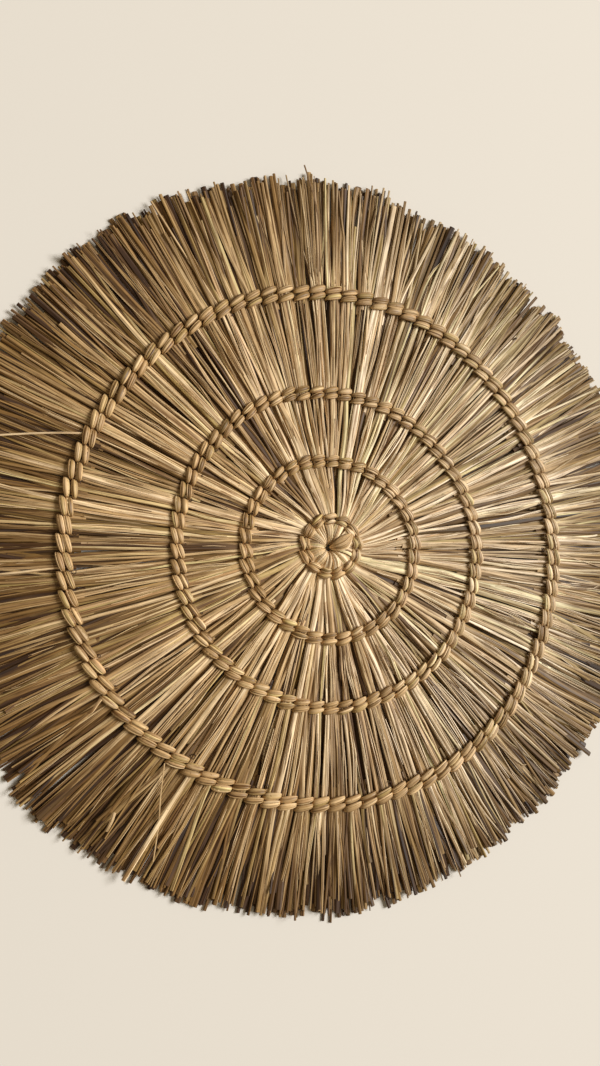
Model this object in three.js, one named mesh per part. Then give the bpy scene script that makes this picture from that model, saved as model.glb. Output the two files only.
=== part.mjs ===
// A round table mat of dried seagrass stems, lying flat on a table.
//
// The stems are folded at a small hub, run outwards in bundles and are held by four
// rings of twining. Each ring is two rows of stitches, on the front and on the back.
// Past the last ring the stems run free and make a fringe with a ragged edge.
//
// Millimetres, +Z up. The origin is the middle of the hub on the table's surface, and
// +Y points to the edge that is uppermost when the mat is looked at.
import * as THREE from 'three';

// Heights above the table
const TWINE_TOP = 10;
const TWINE_THICK = 2.4;
const CLEARANCE = 0.3;
const MIDDLE = TWINE_TOP / 2;
const WAIST = MIDDLE - TWINE_THICK - CLEARANCE;
const HUB_TOP = 11;
const HUB_DIMPLE = 7;
const HUB_INNER_FURROW = 8.8;
const HUB_OUTER_FURROW = 8.2;

// The hub's flat spot, on which it rests, and the round of folds about its dimple
const HUB_FLAT_RADIUS = 10.5;
const HUB_FOLD_RADIUS = 5;

// A stitch covers most of its bundle's pitch, leans outwards from one end to the other
// and tucks its low end under its neighbour. A valley parts the two rows of a ring.
const STITCH_COVER = 0.85;
const STITCH_LEAN = 0.45;
const STITCH_TUCK = 1.3;
const ROW_VALLEY = 1.8;

// The stems' half thickness on a ridge and in a furrow, beside a ring and between rings
const RIDGE_AT_RING = WAIST;
const FURROW_AT_RING = 0.7;
const RIDGE_BETWEEN = 3.4;
const FURROW_BETWEEN = 1.9;
const RIDGE_UNEVEN = 0.25;
const RIDGE_STRAY = 0.12;

// The fringe: a narrow strip outside the last ring, and three locks of stems a bundle
const STRIP_WIDTH = 2.7;
const STRIP_TOP = 7;
const LOCKS_PER_BUNDLE = 3;
const LOCK_ROOT_WIDTH = 2.6;
const LOCK_ROOT_STEP = 3.05;
const LOCK_ROOT_HEIGHT = 6.4;
const LOCK_TIP_WIDTH = 3.2;
const LOCK_TIP_STEP = 3.7;
const LOCK_TIP_HEIGHT = 2.4;
const MIDDLE_LOCK_RISE = 0.6;
const TUFT_SHIFT = 0.7;
const LOCK_SHORTEST = -8;
const LOCK_LONGEST = 4;

// The rings of twining, from the hub outwards. A ring isn't quite round: `right` and
// `up` move its middle, and `skew`, `third` and `thirdTurned` bend its outline.
const RINGS = [
  { name: 'inner', radius: 15.1, bundles: 13, rowStep: 2.9, strand: 2.9,
    right: 0, up: 0, skew: 0, third: 0, thirdTurned: 0 },
  { name: 'first', radius: 48.4, bundles: 38, rowStep: 3.4, strand: 3.2,
    right: 0.3, up: -1.4, skew: -0.5, third: 0.1, thirdTurned: 0.2 },
  { name: 'second', radius: 85.7, bundles: 66, rowStep: 3.5, strand: 3.4,
    right: 0.8, up: -1.2, skew: -0.7, third: 0.4, thirdTurned: -0.1 },
  { name: 'third', radius: 139.1, bundles: 95, rowStep: 3.9, strand: 3.9,
    right: -1.5, up: 0.5, skew: -0.3, third: -1.1, thirdTurned: -0.8 },
];
const TIPS = { radius: 199, right: -3, up: 3, skew: 0.8, third: -2, thirdTurned: -0.7 };

// The hub's folded bundles: where each one points, in degrees clockwise from the
// mat's top, and how far it stands above the hub's usual top
const FOLDS = [
  { clock: 10, rise: 0 }, { clock: 39, rise: 0 }, { clock: 69, rise: 1 },
  { clock: 113, rise: 0.3 }, { clock: 137, rise: -0.4 }, { clock: 157, rise: 0 },
  { clock: 180, rise: -0.5 }, { clock: 205, rise: 0 }, { clock: 238, rise: 0.2 },
  { clock: 281, rise: 0 }, { clock: 323, rise: 0.3 }, { clock: 351, rise: -0.3 },
];

// The ridges that show halfway between one ring and the next
const SPREADS = [
  { from: 0, to: 1, part: 0.5, ridges: 30 },
  { from: 1, to: 2, part: 0.5, ridges: 53 },
  { from: 2, to: 3, part: 0.5, ridges: 80 },
];

const stemStraw = new THREE.MeshStandardMaterial({ color: 0xae8f69, roughness: 0.72, metalness: 0 });
const fringeStraw = new THREE.MeshStandardMaterial({ color: 0x876d4a, roughness: 0.75, metalness: 0 });
const twineStraw = new THREE.MeshStandardMaterial({ color: 0xbfa273, roughness: 0.6, metalness: 0 });

const FULL_TURN = 2 * Math.PI;

// Where a bundle's ridge and the furrow after it lie, as shares of the bundle's pitch
const RIDGE_PLACE = 0.25;
const FURROW_PLACE = 0.75;

// A repeatable uneven number from -1 to 1
function uneven(count, seed) {
  const wave = Math.sin(count * 12.9898 + seed * 78.233) * 43758.5453;
  return 2 * (wave - Math.floor(wave)) - 1;
}

// The radius of a ring's outline in the direction `turn`
function outline(row, turn) {
  return row.radius + row.right * Math.cos(turn) + row.up * Math.sin(turn)
    + row.skew * Math.sin(2 * turn) + row.third * Math.cos(3 * turn)
    + row.thirdTurned * Math.sin(3 * turn);
}

// Half of a ring's width: one row's step, one strand and the stitches' lean
function halfWidth(ring) {
  return (ring.rowStep + ring.strand) / 2 + STITCH_LEAN;
}

// A solid that is built from closed loops of points round the mat's middle
class Solid {
  constructor() {
    this.points = [];
    this.faces = [];
  }

  // Adds a closed loop. Each spot has its turn, radius and height.
  loop(spots) {
    const first = this.points.length / 3;
    for (const { turn, radius, height } of spots) {
      this.points.push(radius * Math.cos(turn), radius * Math.sin(turn), height);
    }
    return { first, turns: spots.map((spot) => spot.turn) };
  }

  triangle(a, b, c) {
    this.faces.push(a, b, c);
  }

  // Joins two loops of any counts, taking the next point in turn from either. The
  // faces look up when the second loop lies outside the first.
  band(inner, outer) {
    const after = (loop, step) => {
      const count = loop.turns.length;
      return loop.turns[step % count] + FULL_TURN * Math.floor(step / count);
    };
    const place = (loop, step) => loop.first + (step % loop.turns.length);
    let i = 0;
    let j = 0;
    while (i < inner.turns.length || j < outer.turns.length) {
      const innerNext = i < inner.turns.length
        && (j >= outer.turns.length || after(inner, i + 1) < after(outer, j + 1));
      if (innerNext) {
        this.triangle(place(inner, i), place(outer, j), place(inner, i + 1));
        i += 1;
      } else {
        this.triangle(place(inner, i), place(outer, j), place(outer, j + 1));
        j += 1;
      }
    }
  }

  // Closes a loop with a fan to one point in the middle
  cap(loop, height, lookingUp) {
    const middle = this.points.length / 3;
    this.points.push(0, 0, height);
    loop.turns.forEach((_, step) => {
      const here = loop.first + step;
      const next = loop.first + ((step + 1) % loop.turns.length);
      if (lookingUp) {
        this.triangle(middle, here, next);
      } else {
        this.triangle(middle, next, here);
      }
    });
  }

  mesh(name, material) {
    const geometry = new THREE.BufferGeometry();
    geometry.setAttribute('position', new THREE.Float32BufferAttribute(this.points, 3));
    geometry.setIndex(this.faces);
    geometry.computeVertexNormals();
    const mesh = new THREE.Mesh(geometry, material);
    mesh.name = name;
    return mesh;
  }
}

// The turns of a ring's bundles, one ridge and one furrow for each
function ridgesAndFurrows(count, wobble, seed) {
  const pitch = FULL_TURN / count;
  const spots = [];
  for (let k = 0; k < count; k += 1) {
    spots.push({ turn: (k + RIDGE_PLACE + wobble * uneven(k, seed)) * pitch, ridge: true });
    spots.push({ turn: (k + FURROW_PLACE + wobble * uneven(k, seed + 1)) * pitch, ridge: false });
  }
  return spots;
}

// The stems beside a ring, pinched by its stitches
function besideRing(ring, offset, side) {
  return ridgesAndFurrows(ring.bundles, 0, 0).map(({ turn, ridge }) => ({
    turn,
    radius: outline(ring, turn) + offset,
    height: MIDDLE + side * (ridge ? RIDGE_AT_RING : FURROW_AT_RING),
  }));
}

// The stems between two rings, spread out and thicker
function betweenRings(spread, side, seed) {
  const [inside, outside] = [RINGS[spread.from], RINGS[spread.to]];
  return ridgesAndFurrows(spread.ridges, RIDGE_STRAY, seed).map(({ turn, ridge }, step) => {
    const half = (ridge ? RIDGE_BETWEEN : FURROW_BETWEEN) + RIDGE_UNEVEN * uneven(step, seed + 2);
    return {
      turn,
      radius: THREE.MathUtils.lerp(outline(inside, turn), outline(outside, turn), spread.part),
      height: MIDDLE + side * half,
    };
  });
}

// The hub's folded bundles, with a furrow between each two
function hubFolds(radius, ridgeHeight, furrowHeight) {
  const folds = FOLDS.map(({ clock, rise }) => ({
    turn: THREE.MathUtils.euclideanModulo(Math.PI / 2 - THREE.MathUtils.degToRad(clock), FULL_TURN),
    rise,
  }));
  folds.sort((a, b) => a.turn - b.turn);
  return folds.flatMap(({ turn, rise }, k) => {
    const nextTurn = k + 1 < folds.length ? folds[k + 1].turn : folds[0].turn + FULL_TURN;
    return [
      { turn, radius, height: ridgeHeight + rise },
      { turn: (turn + nextTurn) / 2, radius, height: furrowHeight },
    ];
  });
}

// All stems from the hub to the last ring, as one ridged sheet
function stemField() {
  const solid = new Solid();
  const hubEdge = (RINGS[0].radius - halfWidth(RINGS[0]) + HUB_FOLD_RADIUS) / 2;
  const edges = [];
  for (const side of [1, -1]) {
    const front = side === 1;
    const flatSpot = hubFolds(HUB_FLAT_RADIUS, 0, 0).map((spot) => ({ ...spot, height: 0 }));
    const loops = front ? [
      hubFolds(HUB_FOLD_RADIUS, HUB_TOP, HUB_INNER_FURROW),
      hubFolds(hubEdge, HUB_TOP, HUB_OUTER_FURROW),
    ] : [flatSpot];
    RINGS.forEach((ring, k) => {
      const reach = halfWidth(ring) + 2 * CLEARANCE;
      loops.push(besideRing(ring, -reach, side), besideRing(ring, reach, side));
      if (k < SPREADS.length) {
        loops.push(betweenRings(SPREADS[k], side, 10 * k + side));
      }
    });
    const rows = loops.map((spots) => solid.loop(spots));
    solid.cap(rows[0], front ? HUB_DIMPLE : 0, front);
    for (let k = 0; k + 1 < rows.length; k += 1) {
      const [first, second] = front ? [rows[k], rows[k + 1]] : [rows[k + 1], rows[k]];
      solid.band(first, second);
    }
    edges.push(rows.at(-1));
  }
  const [frontEdge, backEdge] = edges;
  solid.band(frontEdge, backEdge);
  return solid.mesh('stem_field', stemStraw);
}

// One face of a ring of twining: a section is swept round it, with two stations for
// each stitch, so that every stitch leans outwards and tucks under its neighbour
function twineRing(ring, name, section) {
  const pitch = FULL_TURN / ring.bundles;
  const solid = new Solid();
  const rows = section(ring, 1).map(() => []);
  for (let k = 0; k < ring.bundles; k += 1) {
    for (const end of [1, -1]) {
      const turn = (k + RIDGE_PLACE - 0.5 * end * STITCH_COVER) * pitch;
      section(ring, end).forEach(([offset, height], m) => {
        rows[m].push({ turn, radius: outline(ring, turn) + offset, height });
      });
    }
  }
  const loops = rows.map((spots) => solid.loop(spots));
  loops.forEach((loop, m) => solid.band(loop, loops[(m + 1) % loops.length]));
  return solid.mesh(name, twineStraw);
}

// The front's section, from the hub's side outwards: two crests and a valley
function frontSection(ring, end) {
  const edge = halfWidth(ring);
  const lean = end * STITCH_LEAN;
  const crest = end > 0 ? TWINE_TOP : TWINE_TOP - STITCH_TUCK;
  const base = TWINE_TOP - TWINE_THICK;
  return [
    [-edge, base],
    [lean - ring.rowStep / 2, crest],
    [lean, TWINE_TOP - ROW_VALLEY],
    [lean + ring.rowStep / 2, crest],
    [edge, base],
  ];
}

// The back's section, from the outside inwards: pressed flat where the mat rests
function backSection(ring, end) {
  const edge = halfWidth(ring);
  const lean = end * STITCH_LEAN;
  const flat = ring.rowStep / 2 + ring.strand / 4;
  return [
    [edge, TWINE_THICK],
    [lean + flat, 0],
    [lean - flat, 0],
    [-edge, TWINE_THICK],
  ];
}

// The fringe: three-sided locks of stems that lie level on the table, apart but for
// their roots, which a narrow strip outside the last ring holds
function stemFringe() {
  const ring = RINGS.at(-1);
  const solid = new Solid();
  const innerOffset = halfWidth(ring) + 3 * CLEARANCE;
  const outerOffset = innerOffset + STRIP_WIDTH;
  const pitch = FULL_TURN / ring.bundles;

  const innerTop = solid.loop(ridgesAndFurrows(ring.bundles, 0, 0).map(({ turn, ridge }) => ({
    turn,
    radius: outline(ring, turn) + innerOffset,
    height: ridge ? STRIP_TOP : MIDDLE + FURROW_AT_RING,
  })));
  const innerBottom = solid.loop(Array.from({ length: ring.bundles }, (_, k) => {
    const turn = (k + FURROW_PLACE) * pitch;
    return { turn, radius: outline(ring, turn) + innerOffset, height: 0 };
  }));

  const rootTops = [];
  const rootFeet = [];
  const tips = [];
  for (let k = 0; k < ring.bundles; k += 1) {
    const middle = (k + RIDGE_PLACE) * pitch;
    const shift = TUFT_SHIFT * uneven(k, 41);
    for (let lock = 0; lock < LOCKS_PER_BUNDLE; lock += 1) {
      const place = lock - (LOCKS_PER_BUNDLE - 1) / 2;
      const count = k * LOCKS_PER_BUNDLE + lock;
      const rootRadius = outline(ring, middle) + outerOffset;
      const reach = THREE.MathUtils.mapLinear(uneven(count, 43), -1, 1, LOCK_SHORTEST, LOCK_LONGEST);
      const tipRadius = outline(TIPS, middle) + reach;
      const rootTurn = middle + place * LOCK_ROOT_STEP / rootRadius;
      const tipTurn = middle + (place * LOCK_TIP_STEP + shift) / tipRadius;
      const rootHalf = LOCK_ROOT_WIDTH / 2 / rootRadius;
      const tipHalf = LOCK_TIP_WIDTH / 2 / tipRadius;
      const rise = place === 0 ? MIDDLE_LOCK_RISE : 0;
      rootTops.push({ turn: rootTurn, radius: rootRadius, height: LOCK_ROOT_HEIGHT + rise });
      rootFeet.push({ turn: rootTurn - rootHalf, radius: rootRadius, height: 0 });
      rootFeet.push({ turn: rootTurn + rootHalf, radius: rootRadius, height: 0 });
      tips.push([
        { turn: tipTurn, radius: tipRadius, height: LOCK_TIP_HEIGHT + rise },
        { turn: tipTurn - tipHalf, radius: tipRadius, height: 0 },
        { turn: tipTurn + tipHalf, radius: tipRadius, height: 0 },
      ]);
    }
  }
  const outerTop = solid.loop(rootTops);
  const outerBottom = solid.loop(rootFeet);
  const locks = rootTops.length;
  for (let n = 0; n < locks; n += 1) {
    const next = (n + 1) % locks;
    const root = [outerTop.first + n, outerBottom.first + 2 * n, outerBottom.first + 2 * n + 1];
    const tip = solid.loop(tips[n]).first;
    for (let side = 0; side < 3; side += 1) {
      const other = (side + 1) % 3;
      solid.triangle(root[side], root[other], tip + other);
      solid.triangle(root[side], tip + other, tip + side);
    }
    solid.triangle(tip, tip + 1, tip + 2);
    solid.triangle(root[0], root[2], outerTop.first + next);
    solid.triangle(root[2], outerBottom.first + 2 * next, outerTop.first + next);
  }
  solid.band(innerTop, outerTop);
  solid.band(outerBottom, innerBottom);
  solid.band(innerBottom, innerTop);
  return solid.mesh('stem_fringe', fringeStraw);
}

const mat = new THREE.Group();
mat.add(stemField());
mat.add(stemFringe());
for (const ring of RINGS) {
  mat.add(twineRing(ring, `twine_${ring.name}_front`, frontSection));
  mat.add(twineRing(ring, `twine_${ring.name}_back`, backSection));
}

export default mat;
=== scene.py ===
# %% [markdown]
# A round seagrass table mat
#
# The real mat is a fan of more than two thousand dried seagrass stems. The maker folds a
# handful of them at a small hub, works two rows of twining round the bundles, lays
# more stems in between, and twines again, four times in all. The loose ends past the
# last ring are cut to a ragged fringe. This lesson starts with the frame, the camera and
# the light, and goes on with the stems, the twining, the hub's last fold and the strays.

# %% Tools and the solid frame
import math

import bmesh
import bpy
import numpy as np
from mathutils import Matrix, Vector


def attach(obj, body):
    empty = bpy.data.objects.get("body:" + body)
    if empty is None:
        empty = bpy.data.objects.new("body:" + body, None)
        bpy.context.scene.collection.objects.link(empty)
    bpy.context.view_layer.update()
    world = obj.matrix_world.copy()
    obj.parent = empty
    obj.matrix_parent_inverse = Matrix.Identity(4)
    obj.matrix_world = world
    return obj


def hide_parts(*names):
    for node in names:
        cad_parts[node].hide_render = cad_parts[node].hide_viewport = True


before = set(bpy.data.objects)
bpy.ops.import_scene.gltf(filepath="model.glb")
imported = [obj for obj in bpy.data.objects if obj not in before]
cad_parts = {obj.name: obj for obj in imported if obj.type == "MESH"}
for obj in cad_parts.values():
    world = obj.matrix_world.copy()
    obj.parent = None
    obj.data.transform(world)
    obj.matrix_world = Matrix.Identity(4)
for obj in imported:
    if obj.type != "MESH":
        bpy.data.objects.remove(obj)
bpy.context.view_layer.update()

# %% [markdown]
# The camera stands above the mat, a little to its left, as a person does who leans over
# a table. Its turn and tilt are worked out from how the rings look narrower on one
# side. The lens is given by its focal length in the picture's own pixels, which the
# sensor's long side turns into millimetres.

# %% Camera
MM = 0.001
PICTURE_HEIGHT = 1066
FOCAL_PIXELS = 950
SENSOR = 36.0
CAMERA_TURN = math.radians(-16.8)
CAMERA_TILT = math.radians(3.83)
HUB_DISTANCE = 519 * MM
HUB_RIGHT_PIXELS = 29.8
HUB_BELOW_PIXELS = 13.6
MIDDLE = 5.0

scene = bpy.context.scene
scene.view_settings.view_transform = "Standard"
camera = bpy.data.objects.new("camera", bpy.data.cameras.new("camera"))
scene.collection.objects.link(camera)
scene.camera = camera
camera.data.sensor_width = SENSOR
camera.data.lens = FOCAL_PIXELS / PICTURE_HEIGHT * SENSOR
camera_turned = Matrix.Rotation(CAMERA_TILT, 3, "X") @ Matrix.Rotation(CAMERA_TURN, 3, "Y")
hub_seen = Vector((HUB_RIGHT_PIXELS, -HUB_BELOW_PIXELS, -FOCAL_PIXELS)) / FOCAL_PIXELS * HUB_DISTANCE
camera.matrix_world = camera_turned.to_4x4()
camera.location = Vector((0, 0, MIDDLE * MM)) - camera_turned @ hub_seen
print("the camera stands at", [round(part / MM) for part in camera.location], "mm")

# %% [markdown]
# The light is soft and comes from the right, like a window. A large area lamp gives the
# stems a bright side and a soft shadow on the table to their left, and a pale sky fills
# the gaps between them.

# %% Light and table
WINDOW_PLACE = Vector((6.8, 1.2, 6.4))
WINDOW_SIZE = 4.4
WINDOW_POWER = 1110
WINDOW_COLOUR = (1.0, 0.975, 0.93)
SKY_STRENGTH = 0.25
SKY_COLOUR = (250, 230, 194)
TABLE_HALF = 3.0
TABLE_COLOUR = (229, 225, 219)
TABLE_ROUGHNESS = 0.9


def linear(red, green, blue):
    """A colour as it looks on a screen, from 0 to 255, as the shader's linear colour."""
    shares = [part / 255 for part in (red, green, blue)]
    return tuple(s / 12.92 if s <= 0.04045 else ((s + 0.055) / 1.055) ** 2.4 for s in shares) + (1.0,)


window = bpy.data.objects.new("window", bpy.data.lights.new("window", "AREA"))
scene.collection.objects.link(window)
window.data.size = WINDOW_SIZE
window.data.energy = WINDOW_POWER
window.data.color = WINDOW_COLOUR
window.location = WINDOW_PLACE
window.rotation_euler = (-WINDOW_PLACE).to_track_quat("-Z", "Y").to_euler()

sky = bpy.data.worlds.new("sky")
scene.world = sky
sky.use_nodes = True
sky.node_tree.nodes["Background"].inputs["Color"].default_value = linear(*SKY_COLOUR)
sky.node_tree.nodes["Background"].inputs["Strength"].default_value = SKY_STRENGTH

table_mesh = bmesh.new()
bmesh.ops.create_grid(table_mesh, x_segments=1, y_segments=1, size=TABLE_HALF)
table_data = bpy.data.meshes.new("table")
table_mesh.to_mesh(table_data)
table_mesh.free()
table = bpy.data.objects.new("table", table_data)
scene.collection.objects.link(table)

paint = bpy.data.materials.new("pale_table")
paint.use_nodes = True
paint_shader = paint.node_tree.nodes["Principled BSDF"]
paint_shader.inputs["Base Color"].default_value = linear(*TABLE_COLOUR)
paint_shader.inputs["Roughness"].default_value = TABLE_ROUGHNESS
table_data.materials.append(paint)
print("one window light, one sky and a pale table")

# %% [markdown]
# The rings drive everything else, so their sizes come first, in millimetres. Each row
# says how many bundles a ring gathers and how many stems a bundle holds once the new
# ones are laid in. No hand-made ring is quite round: `right` and `up` move its middle,
# and `skew`, `third` and `third_turned` bend its outline.

# %% Driving sizes
TURN = 2 * math.pi
RINGS = [
    dict(name="inner", radius=15.1, bundles=13, stems=24, row_step=2.9, strand=3.0, slant=0.55,
         stretch=0.02, right=0, up=0, skew=0, third=0, third_turned=0),
    dict(name="first", radius=48.4, bundles=38, stems=18, row_step=3.4, strand=3.2, slant=0.75,
         stretch=0.05, right=0.3, up=-1.4, skew=-0.5, third=0.1, third_turned=0.2),
    dict(name="second", radius=85.7, bundles=66, stems=18, row_step=3.5, strand=3.3, slant=1.00,
         stretch=0.08, right=0.8, up=-1.2, skew=-0.7, third=0.4, third_turned=-0.1),
    dict(name="third", radius=139.1, bundles=95, stems=28, row_step=3.8, strand=3.7, slant=1.35,
         stretch=0.12, right=-1.5, up=0.5, skew=-0.3, third=-1.1, third_turned=-0.8),
]
TIPS = dict(radius=198.7, right=-3.8, up=3.4, skew=0.6, third=-0.2, third_turned=-1.3)
RIDGE_PLACE = 0.25
dice = np.random.default_rng(26)


def outline(row, turn):
    """The radius of a ring's outline in the direction `turn`."""
    return (row["radius"] + row["right"] * np.cos(turn) + row["up"] * np.sin(turn)
            + row["skew"] * np.sin(2 * turn) + row["third"] * np.cos(3 * turn)
            + row["third_turned"] * np.sin(3 * turn))


def spot(radius, turn, aside, height):
    """Points at a radius and turn, moved aside round the ring and up, all in millimetres."""
    radius, turn, aside, height = np.broadcast_arrays(radius, turn, aside, height)
    return np.stack([radius * np.cos(turn) - aside * np.sin(turn),
                     radius * np.sin(turn) + aside * np.cos(turn), height], axis=-1)


print("stems in all:", RINGS[-1]["bundles"] * RINGS[-1]["stems"])

# %% [markdown]
# Every stem and every strand of twine is a thin tube. One tube is modelled with bmesh
# operators, and it is kept as plain arrays, so that copies of it can be laid along any
# route. An open tube is a circle that is extruded a step at a time and filled at its
# ends. A strand that runs round a whole ring is the same circle spun into a closed hoop.

# %% One tube
HOOP_RADIUS = 10.0


def open_tube(sides, steps):
    """A tube along X, whose points' X counts its steps, and its section in Y and Z."""
    tube = bmesh.new()
    bmesh.ops.create_circle(tube, segments=sides, radius=0.5, matrix=Matrix.Rotation(TURN / 4, 4, "Y"))
    start = end = tube.edges[:]
    for _ in range(steps):
        grown = bmesh.ops.extrude_edge_only(tube, edges=end)["geom"]
        end = [part for part in grown if isinstance(part, bmesh.types.BMEdge)]
        moved = [part for part in grown if isinstance(part, bmesh.types.BMVert)]
        bmesh.ops.translate(tube, verts=moved, vec=(1, 0, 0))
    bmesh.ops.holes_fill(tube, edges=start + end)
    bmesh.ops.recalc_face_normals(tube, faces=tube.faces)
    return tube, [(vert.co.x, vert.co.y, vert.co.z) for vert in tube.verts]


def hoop_tube(sides, steps):
    """The circle spun round Z, and its points as step, across and up, as for an open tube."""
    tube = bmesh.new()
    place = Matrix.Translation((HOOP_RADIUS, 0, 0)) @ Matrix.Rotation(TURN / 4, 4, "X")
    bmesh.ops.create_circle(tube, segments=sides, radius=0.5, matrix=place)
    bmesh.ops.spin(tube, geom=tube.verts[:] + tube.edges[:], axis=(0, 0, 1), angle=TURN,
                   steps=steps, use_merge=True)
    bmesh.ops.recalc_face_normals(tube, faces=tube.faces)
    points = []
    for vert in tube.verts:
        turned = math.atan2(vert.co.y, vert.co.x) / TURN % 1.0
        points.append((turned * steps % steps, HOOP_RADIUS - vert.co.xy.length, vert.co.z))
    return tube, points


def tube_form(sides, steps, closed=False):
    """A tube as arrays: its points, and each face's corners with their UV places."""
    tube, points = hoop_tube(sides, steps) if closed else open_tube(sides, steps)
    points = np.array(points)
    step = np.round(points[:, 0]).astype(int)
    if closed:
        step %= steps
    rounds = np.arctan2(points[:, 2], points[:, 1]) / TURN % 1.0
    sizes = np.array([len(face.verts) for face in tube.faces])
    corner_point = np.array([vert.index for face in tube.faces for vert in face.verts])
    corner_round = rounds[corner_point]
    corner_step = step[corner_point]
    face_of = np.repeat(np.arange(len(sizes)), sizes)
    starts = np.concatenate([[0], np.cumsum(sizes)[:-1]])
    wraps = np.maximum.reduceat(corner_round, starts) - np.minimum.reduceat(corner_round, starts) > 0.5
    wraps &= sizes == 4
    corner_round = corner_round + (wraps[face_of] & (corner_round < 0.5))
    closes = np.maximum.reduceat(corner_step, starts) - np.minimum.reduceat(corner_step, starts) > 1
    corner_step = corner_step + steps * (closes[face_of] & (corner_step == 0))
    tube.free()
    return dict(step=step, across=points[:, 1], up=points[:, 2], corner_point=corner_point,
                corner_round=corner_round, corner_step=corner_step, face_size=sizes, closed=closed)


small = tube_form(6, 2)
print("a tube of 6 sides and 2 steps has", len(small["step"]), "points")

# %% [markdown]
# The next helpers lay many copies of that tube at once. Each copy follows its own route
# of points, with its own width, thickness and roll. Curve objects with a bevel could do
# that too, but two thousand of them would be slow to edit and to render. Here numpy
# moves the points of all the tubes together, so a thousand stems are one joined mesh in
# a moment. The first helper works out where those points come to lie: at every step the
# tube's section stands square to the route, and nothing goes below the table.

# %% Points along routes
FLOOR_GAP = 0.05


def unit(vectors):
    """The same vectors with a length of one."""
    return vectors / np.maximum(np.linalg.norm(vectors, axis=-1, keepdims=True), 1e-9)


def placed_points(form, route, width, thick, roll, across):
    """All points of the tubes. `across` is their upright, or the way of their width at each step."""
    if form["closed"]:
        ahead = unit(np.roll(route, -1, axis=1) - np.roll(route, 1, axis=1))
    else:
        ahead = unit(np.gradient(route, axis=1))
    if np.ndim(across) == 1:
        across = np.cross(np.array(across, float), ahead)
    across = unit(across - np.sum(across * ahead, axis=-1, keepdims=True) * ahead)
    up = np.cross(ahead, across)
    roll = np.broadcast_to(np.asarray(roll, float), route.shape[:2])[..., None]
    across, up = (np.cos(roll) * across + np.sin(roll) * up, np.cos(roll) * up - np.sin(roll) * across)
    step = form["step"]
    wide = np.broadcast_to(width, route.shape[:2])[:, step] * form["across"]
    high = np.broadcast_to(thick, route.shape[:2])[:, step] * form["up"]
    points = route[:, step] + across[:, step] * wide[..., None] + up[:, step] * high[..., None]
    points[..., 2] = np.maximum(points[..., 2], FLOOR_GAP)
    return points


print("no tube comes closer to the table than", FLOOR_GAP, "mm")

# %% [markdown]
# The second helper writes those points as one mesh object. Its UV map runs once round
# each tube and along it in centimetres, from a start of its own, so that no two stems
# show the same lines. Each point also gets a `straw` value that the finishes read: tone,
# tint, weathering with painted shade, and painted glare, in a colour attribute's four channels.

# %% Lay tubes along routes
UV_LENGTH = 10.0
UV_STARTS = 100


def lay_tubes(name, form, route, width, thick, straw, roll=0.0, across=(0, 0, 1), smooth=True):
    """One mesh object of tubes. Routes are millimetres, as tubes by steps by XYZ."""
    count, steps = route.shape[:2]
    points = placed_points(form, route, width, thick, roll, across)
    links = np.roll(route, -1, axis=1) - route if form["closed"] else np.diff(route, axis=1)
    lengths = np.linalg.norm(links, axis=-1)
    along = np.concatenate([np.zeros((count, 1)), np.cumsum(lengths, axis=1)], axis=1) / UV_LENGTH
    along += dice.uniform(0, UV_STARTS, (count, 1))
    around = np.broadcast_to(form["corner_round"], (count, len(form["corner_round"])))
    uv = np.stack([around, along[:, form["corner_step"]]], axis=-1)

    total = len(form["step"])
    corner_points = (form["corner_point"] + total * np.arange(count)[:, None]).ravel()
    sizes = np.tile(form["face_size"], count)
    data = bpy.data.meshes.new(name)
    data.vertices.add(count * total)
    data.vertices.foreach_set("co", (points * MM).ravel())
    data.loops.add(len(corner_points))
    data.loops.foreach_set("vertex_index", corner_points)
    data.polygons.add(len(sizes))
    data.polygons.foreach_set("loop_start", np.concatenate([[0], np.cumsum(sizes)[:-1]]))
    data.polygons.foreach_set("use_smooth", (sizes == 4) & smooth)
    data.update(calc_edges=True)
    data.uv_layers.new(name="UVMap").data.foreach_set("uv", uv.ravel())
    values = data.attributes.new("straw", "FLOAT_COLOR", "POINT")
    values.data.foreach_set("color", np.broadcast_to(straw, (count, steps, 4))[:, form["step"]].ravel())
    data.validate()
    piece = bpy.data.objects.new(name, data)
    scene.collection.objects.link(piece)
    print(name, "has", count, "tubes and", int(np.sum(sizes - 2)), "triangles")
    return piece


print("one unit of the UV map is", UV_LENGTH, "mm along a stem")

# %% [markdown]
# Now the plan of the bundles. At each ring the stems that arrive are sorted by where
# they head, new ones are laid among them, and they are shared out evenly over the
# ring's bundles. Inside a bundle they lie in four layers: a face, a back and a core of
# two between them. A stem keeps its level all the way out. Each bundle could be drawn
# by itself, but only this sharing out makes the stems split and cross between the rings
# as real ones do.

# %% Share the stems out over the bundles
LAYERS = [
    dict(share=0.30, height=-1.80, spread=1.00),
    dict(share=0.20, height=-0.60, spread=1.16),
    dict(share=0.20, height=0.60, spread=1.16),
    dict(share=0.30, height=1.80, spread=1.00),
]
FACE_LEVEL = 0.30
BUNDLE_COVER = 0.84
SIDE_MARGIN = 0.6
UNEVEN_PLACES = 0.35
SHOULDER_DROP = 0.8
HUB_SWIRL = math.radians(10)
WANDER = 0.8
WANDER_TAIL = 4.0

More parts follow.
